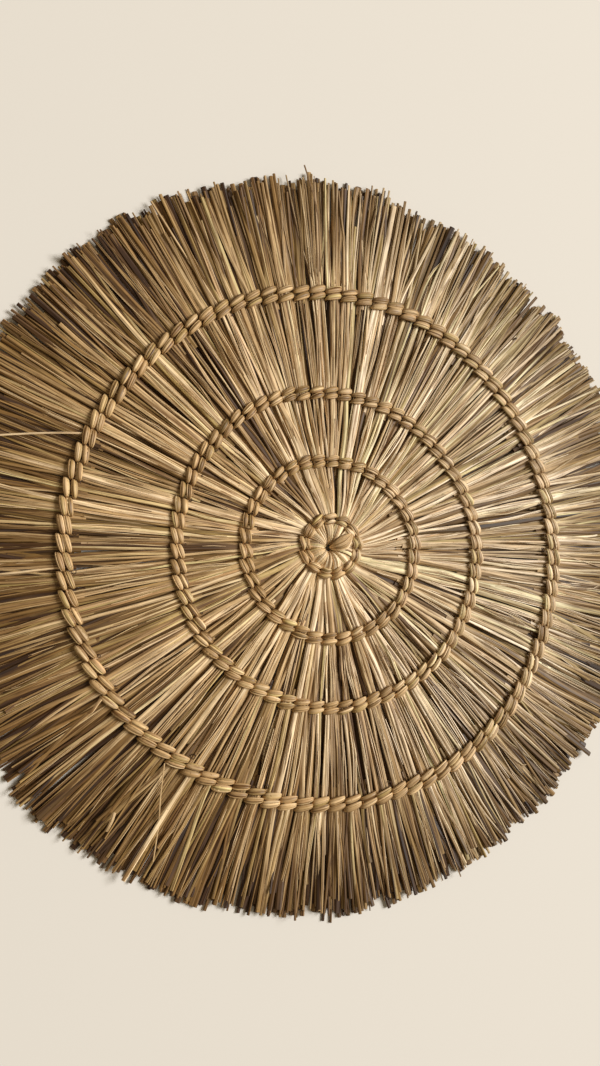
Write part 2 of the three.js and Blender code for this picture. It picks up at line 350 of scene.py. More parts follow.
level = np.zeros(0)
first_ring = np.zeros(0, int)
heading = np.zeros(0)
crossings = []
for number, ring in enumerate(RINGS):
    wanted = ring["bundles"] * ring["stems"]
    added = wanted - len(level)
    pitch = TURN / ring["bundles"]
    level = np.append(level, dice.permutation(added) / added)
    first_ring = np.append(first_ring, np.full(added, number))
    heading = np.append(heading, (np.arange(added) + 0.5) * TURN / added)
    stray = heading + WANDER * TURN / wanted * dice.standard_t(WANDER_TAIL, wanted)
    order = np.argsort((stray - (RIDGE_PLACE - 0.5) * pitch) % TURN)
    bundle = np.empty(wanted, int)
    aside = np.empty(wanted)
    layer_height = np.empty(wanted)
    cuts = np.round(np.cumsum([layer["share"] for layer in LAYERS])[:-1] * ring["stems"]).astype(int)
    half_width = 0.5 * BUNDLE_COVER * pitch * ring["radius"]
    for place in range(ring["bundles"]):
        members = order[place * ring["stems"]:(place + 1) * ring["stems"]]
        bundle[members] = place
        by_level = members[np.argsort(level[members])]
        for stems, layer in zip(np.split(by_level, cuts), LAYERS):
            stems = stems[np.argsort(stray[stems])]
            share = (np.arange(len(stems)) + 0.5) / len(stems) * 2 - 1
            share += dice.uniform(-UNEVEN_PLACES, UNEVEN_PLACES, len(stems)) / len(stems)
            aside[stems] = share * (half_width * layer["spread"] - SIDE_MARGIN)
            layer_height[stems] = layer["height"] * (1 - SHOULDER_DROP / LAYERS[-1]["height"] * share ** 2)
    turn = (bundle + RIDGE_PLACE) * pitch
    crossings.append(dict(turn=turn, aside=aside, height=MIDDLE + layer_height, bundle=bundle))
    heading = turn + aside / ring["radius"] + (HUB_SWIRL if number == 0 else 0.0)
    print("ring", ring["name"], "has", added, "new stems")

# %% [markdown]
# With the crossings known, each stem gets its route, as a few stops that are joined up
# later. It runs straight under the twine. Between two rings it relaxes a little upwards
# or downwards and bows. Those of the core and the back are spread more evenly there
# than those of the face, so that they fill the gaps under it, as on the real mat.

# %% Stops between the rings
COUNT = len(level)
RING_REACH = 3.4
RELAX = 1.5
LIFT_LEVELS = [0, 0.3, 0.31, 0.69, 0.7, 1]
LIFTS = [-1, -0.5, -0.1, 0.1, 0.5, 1]
HEIGHT_STRAY = 0.3
BOW = 0.55
EVEN_OUT = dict(back=12, core=14, face=2)


def ring_points(number, beyond):
    """Where each stem crosses a ring, `beyond` millimetres outside its middle."""
    at = crossings[number]
    return spot(outline(RINGS[number], at["turn"]) + beyond, at["turn"], at["aside"], at["height"])


def evened(places):
    """Points moved about the hub towards the middle between their neighbours."""
    turns = np.arctan2(places[:, 1], places[:, 0]) % TURN
    known = level[:len(turns)]
    sides = dict(back=known < FACE_LEVEL, face=known > 1 - FACE_LEVEL)
    sides["core"] = ~(sides["back"] | sides["face"])
    for side, chosen in sides.items():
        order = np.flatnonzero(chosen)[np.argsort(turns[chosen])]
        row = turns[order]
        for _ in range(EVEN_OUT[side]):
            before = np.roll(row, 1) - TURN * (np.arange(len(row)) == 0)
            after = np.roll(row, -1) + TURN * (np.arange(len(row)) == len(row) - 1)
            row = (row + before * 0.5 + after * 0.5) / 2
        turns[order] = row
    return spot(np.linalg.norm(places[:, :2], axis=1), turns, 0.0, places[:, 2])


def between(number):
    """Halfway from one ring to the next: relaxed away from the middle, and bowed."""
    known = len(crossings[number]["turn"])
    start = ring_points(number, RING_REACH)
    end = ring_points(number + 1, -RING_REACH)[:known]
    halfway = evened((start + end) / 2)
    lift = np.interp(level[:known], LIFT_LEVELS, LIFTS) * RELAX
    halfway[:, 2] += lift + HEIGHT_STRAY * dice.standard_normal(known)
    sideways = np.cross([0, 0, 1], unit(end - start))
    return halfway + sideways * BOW * dice.standard_normal((known, 1))


middles = [between(number) for number in range(3)]
print("stems between the rings:", [len(places) for places in middles])

# %% [markdown]
# No two bundles are alike. `petal` says how a bundle's fold at the hub differs from an
# even one, `tuft` how far its fringe leans, and `trim` how long its fringe was cut.

# %% Uneven bundles
petal = np.clip(dice.standard_normal(RINGS[0]["bundles"]), -1.2, 1.8)
tuft = np.clip(dice.standard_normal(RINGS[3]["bundles"]), -1.5, 1.5)
trim = np.clip(dice.standard_normal(RINGS[3]["bundles"]), -2, 1.6)
in_core = np.abs(level - 0.5) < 0.5 - FACE_LEVEL
print(len(petal), "folds and", len(tuft), "tufts,", np.sum(in_core), "stems in the core")

# %% [markdown]
# Past the last ring a stem comes down to the table and fans out with its bundle. The
# fringe was cut a bundle at a time, so a bundle's ends share a length but for a few
# millimetres. Some broke off short, a few are long, and a few stand up from the table.

# %% Stops in the fringe
NEAR_FRINGE = 9.0
FAR_FRINGE = 30.0
NEAR_FAN = 1.06
FAR_FAN = 1.38
TIP_FAN = 1.66
CORE_FAN = 1.18
NEAR_HEIGHT = 0.45
NEAR_LEAN = 0.1
FAR_LEAN = 0.5
FAR_STRAY = 0.45
TUFT_LEAN = 0.6
TIP_STRAY = 2.3
TIP_STRAY_TAIL = 3.5
TIP_STRAY_LIMIT = 11
CURVE = 0.8
REST_LOWEST = 0.9
REST_RISE = 3.0
REST_STRAY = 0.35
TIP_LOWER = 0.4
TIP_REST_STRAY = 0.5
LOWEST_TIP = 0.8
ALL_LONGER = 0.1
TRIM = 1.5
UNEVEN_ENDS = 2.2
SHORT_ENDS = dict(share=0.14, least=4, most=24)
LONG_ENDS = dict(share=0.02, least=1, most=4)
RAISED_ENDS = dict(share=0.05, least=1, most=4)


def some(ends):
    """For a share of the stems a length between the least and the most, and 0 for the others."""
    return np.where(dice.random(COUNT) < ends["share"], dice.uniform(ends["least"], ends["most"], COUNT), 0)


def fringe_points():
    """Three points of each stem past the last ring: near it, further out and the tip."""
    at = crossings[3]
    turn = at["turn"]
    lean = TUFT_LEAN * tuft[at["bundle"]]
    ring_edge = outline(RINGS[3], turn)
    rest = REST_LOWEST + REST_RISE * level ** 1.3
    spread = at["aside"] * np.where(in_core, CORE_FAN, 1.0)
    near = spot(ring_edge + NEAR_FRINGE, turn, spread * NEAR_FAN + NEAR_LEAN * lean,
                NEAR_HEIGHT * at["height"] + (1 - NEAR_HEIGHT) * rest)
    stray = np.clip(TIP_STRAY * dice.standard_t(TIP_STRAY_TAIL, COUNT), -TIP_STRAY_LIMIT, TIP_STRAY_LIMIT)
    curve = CURVE * dice.standard_normal(COUNT)
    far_aside = spread * FAR_FAN + FAR_LEAN * lean + FAR_STRAY * stray + curve
    far = spot(ring_edge + FAR_FRINGE, turn, far_aside, rest + REST_STRAY * dice.standard_normal(COUNT))
    length = ALL_LONGER + TRIM * trim[at["bundle"]]
    length += UNEVEN_ENDS * np.clip(dice.standard_normal(COUNT), -3, 1.7)
    length -= some(SHORT_ENDS)
    length += some(LONG_ENDS)
    raised = some(RAISED_ENDS)
    tip_rest = np.maximum(rest - TIP_LOWER + TIP_REST_STRAY * dice.standard_normal(COUNT), LOWEST_TIP)
    tip = spot(outline(TIPS, turn) + length, turn, spread * TIP_FAN + lean + stray, tip_rest + raised)
    return near, far, tip


near, far, tip = fringe_points()
print("the fringe sticks out by", round(float(np.mean(np.linalg.norm((tip - near)[:, :2], axis=1)))), "mm")

# %% [markdown]
# At the hub the first stems are folded: they come up out of a small hole, arch over and
# dive under the inner ring, face and back alike. The table gives the height of the
# fold's face and of its back at four distances from the hole. A fold could be bent with
# a modifier, but then its stems would no longer meet their places in the ring.

# %% Stops at the hub
HUB_STOPS = [
    dict(radius=2.1, squeeze=0.14, top=4.6, bottom=3.0),
    dict(radius=3.5, squeeze=0.42, top=8.8, bottom=1.4),
    dict(radius=6.6, squeeze=0.80, top=10.8, bottom=0.9),
    dict(radius=10.0, squeeze=0.86, top=10.0, bottom=0.9),
]
HUB_ARCH = 2.6
HUB_HOLE = np.array([-0.6, -0.8])
HUB_HOLE_REACH = 12
HUB_HALF_BUNDLE = 0.5 * BUNDLE_COVER * TURN * RINGS[0]["radius"] / RINGS[0]["bundles"]
HUB_LAYER = 1.2
HALF_STEM = 0.5
PETAL_STRAY = math.radians(3.5)
PETAL_RISE = 0.35
PETAL_PLUMP = 0.14
PETAL_LEAN = 1.1


def hub_stops(chosen):
    """Stops of the folded stems, from the hole to just inside the inner ring."""
    at = crossings[0]
    share = at["aside"][chosen] / HUB_HALF_BUNDLE
    side = np.clip((at["height"][chosen] - MIDDLE) / HUB_LAYER, -1, 1)
    petal_turn = PETAL_STRAY * petal[at["bundle"][chosen]]
    plump = petal[::-1][at["bundle"][chosen]]
    stops = []
    for stop in HUB_STOPS:
        half_height = (stop["top"] - stop["bottom"]) / 2 - HALF_STEM
        rise = half_height + PETAL_RISE * plump - HUB_ARCH * share ** 2 + PETAL_LEAN * share
        height = (stop["top"] + stop["bottom"]) / 2 + side * rise
        aside = share * stop["squeeze"] * (1 + PETAL_PLUMP * plump) * HUB_HALF_BUNDLE
        folded = spot(stop["radius"], at["turn"][chosen] + petal_turn, aside, height)
        folded[:, :2] += HUB_HOLE * (1 - stop["radius"] / HUB_HOLE_REACH)
        stops.append(folded)
    return stops


print("the folds of the hub are", max(stop["top"] for stop in HUB_STOPS), "mm high")

# %% [markdown]
# Now the stops are joined up. Each stretch is cut into a few parts, and a running
# average rounds the corners, which is quicker than fitting a smooth curve and never
# swings past a stop. A stem that is laid in at a later ring starts just inside it, and
# in the core it starts further in, where no end shows.

# %% Whole routes
ROUNDINGS = 3
INNER_ROW = 2.0
LAID_IN = 0.5
LAID_IN_CORE = (4, 11)
LAID_IN_FLAT = 0.7


def subdivide(stops, parts):
    """Routes through the stops, with each stretch cut into its number of parts."""
    pieces = []
    for start, end, number in zip(stops[:-1], stops[1:], parts):
        shares = np.arange(number)[None, :, None] / number
        pieces.append(start[:, None] * (1 - shares) + end[:, None] * shares)
    pieces.append(stops[-1][:, None])
    return np.concatenate(pieces, axis=1)


def rounded(route, passes=ROUNDINGS):
    """The same routes with their corners rounded by a running average."""
    for _ in range(passes):
        inner = 0.25 * route[:, :-2] + 0.5 * route[:, 1:-1] + 0.25 * route[:, 2:]
        route = np.concatenate([route[:, :1], inner, route[:, -1:]], axis=1)
    return route


def stem_routes(start):
    """The routes of the stems that are laid in at one ring, from there to their tips."""
    chosen = np.flatnonzero(first_ring == start)
    if start == 0:
        stops = hub_stops(chosen) + [ring_points(0, side * INNER_ROW)[chosen] for side in (-1, 1)]
        parts = [2, 2, 2, 3, 2, 2]
    else:
        known = len(crossings[start]["turn"])
        inside = np.where(in_core[:known], dice.uniform(*LAID_IN_CORE, known), LAID_IN)
        laid_in = ring_points(start, -inside)[chosen]
        laid_in[:, 2] = MIDDLE + LAID_IN_FLAT * (laid_in[:, 2] - MIDDLE)
        stops = [laid_in, ring_points(start, RING_REACH)[chosen]]
        parts = [2, 2] if start < 3 else [2]
    for number in range(start, 3):
        stops.append(middles[number][chosen])
        stops += [ring_points(number + 1, side * RING_REACH)[chosen] for side in (-1, 1)]
        parts += [3, 2, 2] if number + 1 < 3 else [3, 2]
    stops += [near[chosen], far[chosen], tip[chosen]]
    parts += [2, 3, 3]
    return chosen, rounded(subdivide(stops, parts))


for start in range(4):
    chosen, route = stem_routes(start)
    print("laid in at ring", start, ":", len(chosen), "stems of", route.shape[1] - 1, "steps")

# %% [markdown]
# Dried seagrass isn't one colour. Most stems are straw, some are olive or pinkish, a
# few are pale or dark, and all are browner towards the tips, partly from weathering and
# partly as painted shade. The right side of the mat is painted paler and greyer, as
# painted glare from the window. These tables hold the colours. The tones of stem and twine
# run from dark to pale, and all the other colours are multiplied with the tone under them.

# %% Colours of a dried leaf
WHITE = (1, 1, 1, 1)
STEM_TONES = [
    (0.00, linear(90, 60, 24)),
    (0.25, linear(148, 116, 72)),
    (0.50, linear(188, 156, 112)),
    (0.78, linear(212, 183, 141)),
    (1.00, linear(238, 214, 178)),
]
TWINE_TONES = [
    (0.00, linear(128, 99, 62)),
    (0.35, linear(172, 141, 99)),
    (0.65, linear(208, 176, 132)),
    (1.00, linear(238, 211, 170)),
]
TINTS = [(0.0, (0.90, 0.97, 0.78, 1)), (0.35, (1, 1, 0.97, 1)), (0.7, WHITE), (1.0, (1.0, 0.94, 0.92, 1))]
LINES = [(0.36, (0.40, 0.29, 0.17, 1)), (0.48, WHITE), (0.62, (1.38, 1.36, 1.32, 1))]
MOTTLES = [(0.35, (0.76, 0.70, 0.60, 1)), (0.65, (1.14, 1.14, 1.12, 1))]
FLECKS = [(0.26, (0.35, 0.26, 0.17, 1)), (0.31, WHITE)]
# The first of these two browns the colour for weathering and painted shade, the second pales and greys it
# as painted glare.
WEATHER_AND_SHADE_BROWN = (0.42, 0.345, 0.21, 1)
PAINTED_GLARE = (1.27, 1.50, 2.05, 1)
print("tones of a stem:", len(STEM_TONES), "and of the twine:", len(TWINE_TONES))

# %% [markdown]
# Stems and twine are the same leaf, so one function makes both finishes. It reads the
# `straw` values: the first runs along the ramp of tones, the second tints them, the
# third browns them with weathering and painted shade, and the fourth pales and greys them
# with painted glare. Noise that is stretched along the UV map draws the fine lines of the
# leaf and also raises them, and makes their ridges a little less shiny. A picture of straw
# could do the same, but it would repeat.

# %% Finishes
LINE_LENGTH = 0.25
LINE_DEPTH = 0.00025
MOTTLE_SCALE = (2.0, 1.1, 1)
MOTTLE_SHARE = 0.6
FLECK_SCALE = (5.0, 9.0, 1)
FLECK_SHARE = 0.7
ROUGHER = 0.10
SMOOTHER = 0.08


def straw_finish(name, tones, line_count, raised, roughness):
    """A dried leaf: a ramp of tones with tints, weathering and painted shade, painted glare, lengthwise
    lines and flecks.
    """
    finish = bpy.data.materials.new(name)
    finish.use_nodes = True
    nodes = finish.node_tree.nodes
    link = finish.node_tree.links.new
    shader = nodes["Principled BSDF"]

    def add(kind, **settings):
        made = nodes.new("ShaderNode" + kind)
        for setting, value in settings.items():
            setattr(made, setting, value)
        return made

    def ramp(source, stops):
        made = add("ValToRGB")
        elements = made.color_ramp.elements
        while len(elements) < len(stops):
            elements.new(0.5)
        for element, (place, colour) in zip(elements, stops):
            element.position = place
            element.color = colour
        link(source, made.inputs["Fac"])
        return made.outputs["Color"]

    def multiplied(share, first, second):
        made = add("Mix", data_type="RGBA", blend_type="MULTIPLY")
        for socket, value in zip((made.inputs[0], made.inputs[6], made.inputs[7]), (share, first, second)):
            if isinstance(value, bpy.types.NodeSocket):
                link(value, socket)
            else:
                socket.default_value = value
        return made.outputs[2]

    def noise(source, scale, detail):
        stretched = add("VectorMath", operation="MULTIPLY")
        stretched.inputs[1].default_value = scale
        link(source, stretched.inputs[0])
        made = add("TexNoise")
        made.inputs["Scale"].default_value = 1.0
        made.inputs["Detail"].default_value = detail
        link(stretched.outputs[0], made.inputs["Vector"])
        return made.outputs["Fac"]

    straw = add("Attribute", attribute_name="straw")
    glare = straw.outputs["Alpha"]
    values = add("SeparateColor")
    link(straw.outputs["Color"], values.inputs["Color"])
    tone, tint, weather_and_shade = values.outputs
    place = add("UVMap", uv_map="UVMap").outputs["UV"]
    lines = noise(place, (line_count, LINE_LENGTH, 1), 3.0)
    mottle = noise(place, MOTTLE_SCALE, 2.0)
    fleck = noise(place, FLECK_SCALE, 1.0)

    colour = ramp(tone, tones)
    colour = multiplied(1.0, colour, ramp(tint, TINTS))
    # The third channel browns the colour: weathering, and painted shade.
    colour = multiplied(weather_and_shade, colour, WEATHER_AND_SHADE_BROWN)
    colour = multiplied(1.0, colour, ramp(lines, LINES))
    colour = multiplied(MOTTLE_SHARE, colour, ramp(mottle, MOTTLES))
    colour = multiplied(FLECK_SHARE, colour, ramp(fleck, FLECKS))
    # The fourth channel pales and greys the colour: painted glare from the window.
    colour = multiplied(glare, colour, PAINTED_GLARE)
    link(colour, shader.inputs["Base Color"])

    gloss = add("MapRange")
    gloss.inputs["To Min"].default_value = roughness - SMOOTHER
    gloss.inputs["To Max"].default_value = roughness + ROUGHER
    link(lines, gloss.inputs["Value"])
    link(gloss.outputs["Result"], shader.inputs["Roughness"])
    bump = add("Bump")
    bump.inputs["Strength"].default_value = raised
    bump.inputs["Distance"].default_value = LINE_DEPTH
    link(lines, bump.inputs["Height"])
    link(bump.outputs["Normal"], shader.inputs["Normal"])
    return finish


stem_finish = straw_finish("seagrass_stem", STEM_TONES, line_count=5.0, raised=0.6, roughness=0.56)
twine_finish = straw_finish("seagrass_twine", TWINE_TONES, line_count=5.0, raised=0.8, roughness=0.48)
print("finishes:", stem_finish.name, "and", twine_finish.name)

# %% [markdown]
# Where a stem runs decides its `straw` values. Those of the core and the back get painted
# shade, darker and browner, because they lie in the others' shade. All are browner towards
# the tips, partly weathering and partly painted shade. Painted shade darkens the left and
# the bottom, most of all in the fringe, and tones down the right of the fringe; painted light
# brightens the top, the upper right and the stems near the hub; painted glare pales and
# greys the right. Each stem strays from all that by a tone, a tint and a weathering of its own.

# %% Straw values of the stems
TONE = 0.75
TONE_STRAY = 0.29
TINT = 0.43
TINT_STRAY = 0.24
# Painted light near the hub.
HUB_PAINTED_LIGHT = 0.14
# Painted shade of the core and the back: by level, darker and browner, and browner still in the fringe.
DARK_LEVELS = [0.0, 0.4, 0.6, 0.8]
DARK_SHARES = [0.6, 1.0, 1.0, 0.0]
CORE_DARK = 0.50
CORE_SHADE_BROWN = 0.36
CORE_SHADE_BROWN_FRINGE = 0.15
# Browner towards the tips: partly weathering, partly painted shade.
TIP_WEATHER_AND_SHADE_FROM = [40, 135, 160, 200]
TIP_WEATHER_AND_SHADE = [-0.05, 0.21, 0.47, 0.78]
WEATHER_STRAY = 0.22
# Painted shade at the left and below, painted light above and at the upper right, most of all in the
# fringe.
SHADE_LEFT = 0.0013
SHADE_BELOW = 0.0012
LIGHT_ABOVE = 0.0002
LIGHT_CORNER = 0.0010
SHADE_FROM = [100, 170]
SHADE_SHARE = [0.3, 1.0]
SHADE_TONE = 0.5
# Painted shade on the right of the fringe.
RIGHT_FRINGE_PAINTED_SHADE = 0.0014
# Painted glare on the right of the mat.
GLARE_FROM = [-40, 20, 110, 190]
GLARE_SHARE = [0.0, 0.25, 0.70, 0.62]
SIDE_REACH = 200


def towards(distance):
    """How far a point lies towards one side of the hub, and 0 on the other side of it."""
    return np.clip(distance, 0, SIDE_REACH)


def stem_straw(chosen, route):
    """The straw values of stems, at every step of their routes."""
    count = len(route)
    reach = np.linalg.norm(route[..., :2], axis=-1)
    right, up = route[..., 0], route[..., 1]
    # Painted shade: the core and the back are painted darker, as they lie in the others' shade.
    dark = np.interp(level[chosen, None], DARK_LEVELS, DARK_SHARES) * np.interp(reach, [14, 30], [0, 1])
    # Painted shade at the left and below, painted light above and at the upper right.
    shade = towards(-right) * SHADE_LEFT + towards(-up) * SHADE_BELOW
    shade -= towards(up) * LIGHT_ABOVE + towards(np.minimum(right, up)) * LIGHT_CORNER
    shade *= np.interp(reach, SHADE_FROM, SHADE_SHARE)
    # Painted light: stems near the hub are painted lighter, against the shade of its folds.
    tone = TONE - CORE_DARK * dark - SHADE_TONE * shade + HUB_PAINTED_LIGHT * np.interp(reach, [20, 110], [1, 0])
    tone = np.clip(tone + TONE_STRAY * dice.standard_normal((count, 1)), 0, 1)
    tint = np.clip(TINT + TINT_STRAY * dice.standard_normal((count, 1)), 0, 1)
    # Browner towards the tips, partly weathering and partly painted shade; the core and the back browner as
    # painted shade.
    weather_and_shade = np.interp(reach, TIP_WEATHER_AND_SHADE_FROM, TIP_WEATHER_AND_SHADE) + CORE_SHADE_BROWN * dark + shade
    # Painted shade on the right of the fringe tones down its painted glare.
    weather_and_shade = weather_and_shade + towards(right) * RIGHT_FRINGE_PAINTED_SHADE * np.interp(reach, [140, 180], [0, 1])
    # Painted shade: the core and the back are browner still in the fringe.
    weather_and_shade = weather_and_shade + CORE_SHADE_BROWN_FRINGE * dark * np.interp(reach, [140, 160], [0, 1])
    weather_and_shade = np.clip(weather_and_shade + WEATHER_STRAY * dice.standard_normal((count, 1)), 0, 1)
    # Painted glare: the right of the mat is painted paler and greyer, where the window's light falls.
    glare = np.interp(right, GLARE_FROM, GLARE_SHARE)
    return np.stack(np.broadcast_arrays(tone, tint, weather_and_shade, glare), axis=-1)


print("bleached at the right by", GLARE_SHARE[-1])

# %% [markdown]
# The stems themselves are four pieces, one for each ring at which they are laid in, so
# that none has more faces than a piece may have. A stem is a flattened tube with six
# flat sides, because a dried stem is ribbed and not round. It is squeezed to about a
# third of its width at the hub's hole, and it is narrower towards its tip.

# %% Stems
NAMES = ["stems_from_hub", "stems_from_first", "stems_from_second", "stems_from_third"]
BROAD = [1.55, 1.35, 1.3, 1.25]
BACK_BROAD = 1.7
CORE_BROAD = 1.65
BROAD_STRAY = 0.40
FLATNESS = (0.45, 0.75)
NARROWEST, BROADEST = 0.7, 3.6
THINNEST, THICKEST = 0.6, 1.35
TAPER_FROM = [2, 6, 13, 30, 140, 200]
TAPER = [0.36, 0.55, 0.90, 1.08, 1.0, 0.82]
UNDER_FRINGE_BROAD = 1.15
TAPER_THICK = 0.6
ROLL = 0.45


def finished(piece, finish, replaced):
    """Gives a piece its finish and lets it stand for the solids that it replaces."""
    piece.data.materials.append(finish)
    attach(piece, "root")
    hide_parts(*replaced)
    return piece


for start, name in enumerate(NAMES):
    chosen, route = stem_routes(start)
    count, steps = route.shape[:2]
    reach = np.linalg.norm(route[..., :2], axis=-1)
    layer = level[chosen, None]
    broad = np.select([layer < FACE_LEVEL, layer < 1 - FACE_LEVEL], [BACK_BROAD, CORE_BROAD], 1.0)
    broad = broad * BROAD[start]
    wide = np.clip(broad * np.exp(BROAD_STRAY * dice.standard_normal((count, 1))), NARROWEST, BROADEST)
    thick = np.clip(wide * dice.uniform(*FLATNESS, (count, 1)), THINNEST, THICKEST)
    taper = np.interp(reach, TAPER_FROM, TAPER)
    under_fringe = np.interp(reach, [140, 165], [1.0, UNDER_FRINGE_BROAD])
    taper = taper * np.where(layer < 1 - FACE_LEVEL, under_fringe, 1.0)
    roll = dice.uniform(-ROLL, ROLL, (count, 1))
    piece = lay_tubes(name, tube_form(6, steps - 1), route, wide * taper, thick * taper ** TAPER_THICK,
                      stem_straw(chosen, route), roll, smooth=False)
    finished(piece, stem_finish, ["stem_field", "stem_fringe"])

# %% [markdown]
# Dried leaves split lengthwise, and their fine edges lie loose on the face. A pattern in
# the finish would lie flat on the stems, so each edge is a very thin tube beside a face
# stem, on a part of its way from one ring to the next or out into the fringe.

# %% Split edges
EDGE_COUNTS = [130, 280, 640, 520]
EDGE_STEPS = 4
EDGE_BEGINS = (0.0, 0.45)
EDGE_LENGTHS = (0.4, 1.0)
EDGE_BESIDE = 0.9
EDGE_TURN = 0.5
EDGE_LIFT = (0.35, 0.15)
EDGE_LIGHT_SHARE = 0.8
EDGE_LIGHT = (0.75, 1.0)
EDGE_DARK = (0.0, 0.3)
EDGE_TINT = (0.2, 0.9)
EDGE_WEATHER_AND_SHADE = [0.0, 0.15, 0.6]
EDGE_WIDTHS = (0.28, 0.60)
EDGE_TAPER = np.array([0.6, 1, 1, 1, 0.5])
EDGE_THICK = 0.3


def edge_routes(number, count):
    """Routes of split edges between one ring and the next, or in the fringe."""
    known = len(crossings[number]["turn"])
    face = np.flatnonzero(level[:known] > 1 - FACE_LEVEL)
    chosen = dice.choice(face, count)
    start = ring_points(number, RING_REACH)
    if number < 3:
        stops = [start, middles[number], ring_points(number + 1, -RING_REACH)[:known]]
    else:
        stops = [start, near, far, tip]
    stops = [stop[chosen] for stop in stops]
    begins = dice.uniform(*EDGE_BEGINS, (count, 1))
    ends = np.minimum(begins + dice.uniform(*EDGE_LENGTHS, (count, 1)), 1.0)
    shares = np.linspace(0, 1, EDGE_STEPS + 1)
    places = (begins + (ends - begins) * shares) * (len(stops) - 1)
    route = np.zeros((count, EDGE_STEPS + 1, 3))
    for index, stop in enumerate(stops):
        route += np.clip(1 - np.abs(places - index), 0, 1)[..., None] * stop[:, None]
    beside = unit(np.cross([0, 0, 1], stops[-1] - stops[0]))[:, None]
    aside = beside * dice.uniform(-EDGE_BESIDE, EDGE_BESIDE, (count, 1, 1))
    turned = beside * shares[None, :, None] * EDGE_TURN * dice.standard_normal((count, 1, 1))
    route += aside + turned
    route[..., 2] += EDGE_LIFT[0] + EDGE_LIFT[1] * dice.random((count, 1))
    return route


route = np.concatenate([edge_routes(number, count) for number, count in enumerate(EDGE_COUNTS)])
count = len(route)
light = dice.random((count, 1)) < EDGE_LIGHT_SHARE
tone = np.where(light, dice.uniform(*EDGE_LIGHT, (count, 1)), dice.uniform(*EDGE_DARK, (count, 1)))
tint = dice.uniform(*EDGE_TINT, (count, 1))
# Browner towards the tips, partly weathering and partly painted shade, as on the stems.
weather_and_shade = np.interp(np.linalg.norm(route[..., :2], axis=-1), [40, 135, 200], EDGE_WEATHER_AND_SHADE)
# Painted glare on the right, as on the stems.
glare = np.interp(route[..., 0], GLARE_FROM, GLARE_SHARE)
values = np.stack(np.broadcast_arrays(tone, tint, weather_and_shade, glare), axis=-1)
wide = dice.uniform(*EDGE_WIDTHS, (count, 1)) * EDGE_TAPER
edges = lay_tubes("split_edges", tube_form(3, EDGE_STEPS), route, wide, EDGE_THICK, values, smooth=False)
finished(edges, stem_finish, ["stem_field", "stem_fringe"])

# %% [markdown]
# Twining is two strands that wind round each other and round the bundles: at each
# bundle one passes over the front and the other under the back, and in every gap they
# change places. So each strand is a flattened spiral with half a turn for a bundle. It
# is widest on top of a bundle and narrow in the gap, which gives the row of leaning
# ovals. Single stitches in a row would look the same from above, but their ends would
# show in the gaps. `phase` is the angle of the spiral, and it is 0 on top of a bundle.

# %% Spiral of a strand
STATIONS = np.radians([-90, -80, -64, -40, -14, 14, 40, 64, 80])
CREST = 3.70
HUG = 0.40
TIP_OVER = 0.80
WOBBLES = [dict(size=0.25, waves=7, row_shift=1), dict(size=0.2, waves=17, row_shift=2)]


def strand_phase(ring):
    """The spiral's angle at every station of a ring's strands, and the turn round the hub."""
    rounds = 1 + ring["bundles"] % 2
    passes = np.arange(ring["bundles"] * rounds)
    phase = (STATIONS[None, :] + np.pi * passes[:, None]).ravel()
    turn = (phase / np.pi + ring["stretch"] * np.sin(2 * phase) + RIDGE_PLACE) * TURN / ring["bundles"]
    phase = phase[None, :] + np.pi * np.arange(2 // rounds)[:, None]
    return phase, np.broadcast_to(turn, phase.shape)


def strand_height(phase, rise):
    """How high the spiral runs: over a bundle, steeply down in the gap and under the next."""
    over = np.cos(phase)
    hug = np.sign(over) * np.abs(over) ** HUG
    return MIDDLE + (CREST + rise) * hug + TIP_OVER * np.sin(phase) * np.abs(np.sin(phase))


print("a strand's stitch has", len(STATIONS), "stations")

# %% [markdown]
# A strand isn't one leaf but three strips side by side, twisted together. So each strip
# is its own spiral at its own place across the strand, and the outer two lean away from
# the middle one.
# Where a ring has an odd number of bundles, the first strand comes round as the second,
# so one strand goes round twice.

# %% Strips of a strand
GAP_WIDTH = 0.38
END_NARROWER = 0.12
SWELL = 0.10
STRIP_UNEVEN = 0.16
GAP_THICK = 0.70
STRIPS = [
    dict(place=-0.29, width=0.46, rise=0.00, thick=1.35, lean=-0.40),
    dict(place=0.02, width=0.60, rise=0.22, thick=1.35, lean=0.00),
    dict(place=0.33, width=0.40, rise=-0.05, thick=1.25, lean=0.45),
]
TWINE_TONE = 0.56
TWINE_ODD_LIGHTER = 0.14
TWINE_TONE_STRAY = 0.20
TWINE_TINT = 0.50
TWINE_TINT_STRAY = 0.24
TWINE_WEATHER = 0.04
TWINE_WEATHER_ABOVE = 0.40
TWINE_WEATHER_REACH = 139
TWINE_WEATHER_STRAY = 0.12
# Painted glare on the right of the mat.
TWINE_GLARE = 0.50


def twine_straw(ring, turn):
    """The straw values of a strip, one set for each of its stitches."""
    strands, passes = turn.shape
    odd = (np.arange(passes) + np.arange(strands)[:, None]) % 2
    tone = TWINE_TONE + TWINE_ODD_LIGHTER * odd + TWINE_TONE_STRAY * dice.standard_normal(turn.shape)
    tint = TWINE_TINT + TWINE_TINT_STRAY * dice.standard_normal(turn.shape)
    above = np.clip(np.sin(turn), 0, 1) * ring["radius"] / TWINE_WEATHER_REACH
    weather_and_shade = TWINE_WEATHER + TWINE_WEATHER_ABOVE * above + TWINE_WEATHER_STRAY * dice.random(turn.shape)
    # Painted glare: the twine on the right of the mat is painted paler and greyer.
    glare = TWINE_GLARE * np.clip(np.cos(turn), 0, 1)
    return np.stack([np.clip(part, 0, 1) for part in (tone, tint, weather_and_shade, glare)], axis=-1)


